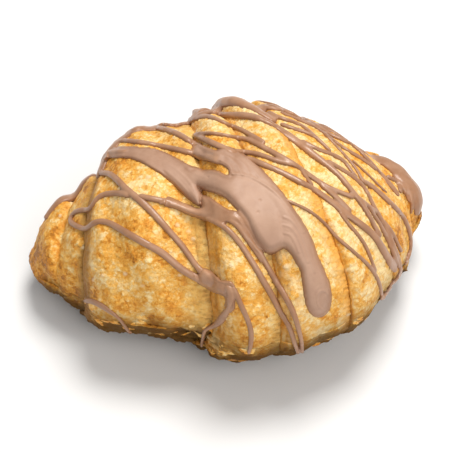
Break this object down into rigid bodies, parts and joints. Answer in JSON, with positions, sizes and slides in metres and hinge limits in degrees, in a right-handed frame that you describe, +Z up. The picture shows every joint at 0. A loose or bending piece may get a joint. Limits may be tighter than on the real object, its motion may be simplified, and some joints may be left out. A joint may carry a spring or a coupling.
{
  "type": "chocolate croissant",
  "caption": "Golden curved croissant of rolled turns, drizzled with milk chocolate and with one thick chocolate pour down its front.",
  "frame": {"origin": "under the middle of the croissant's box, on the surface it rests on", "axes": "+X from the left tip to the right tip, -Y towards the outer side of the curve that the picture shows, +Z up"},
  "size_m": [0.148, 0.1069, 0.0727],
  "materials": {
    "crust": "satin",
    "chocolate": "satin"
  },
  "bodies": {
    "root": {"croissant": "crust"}
  },
  "joints": []
}
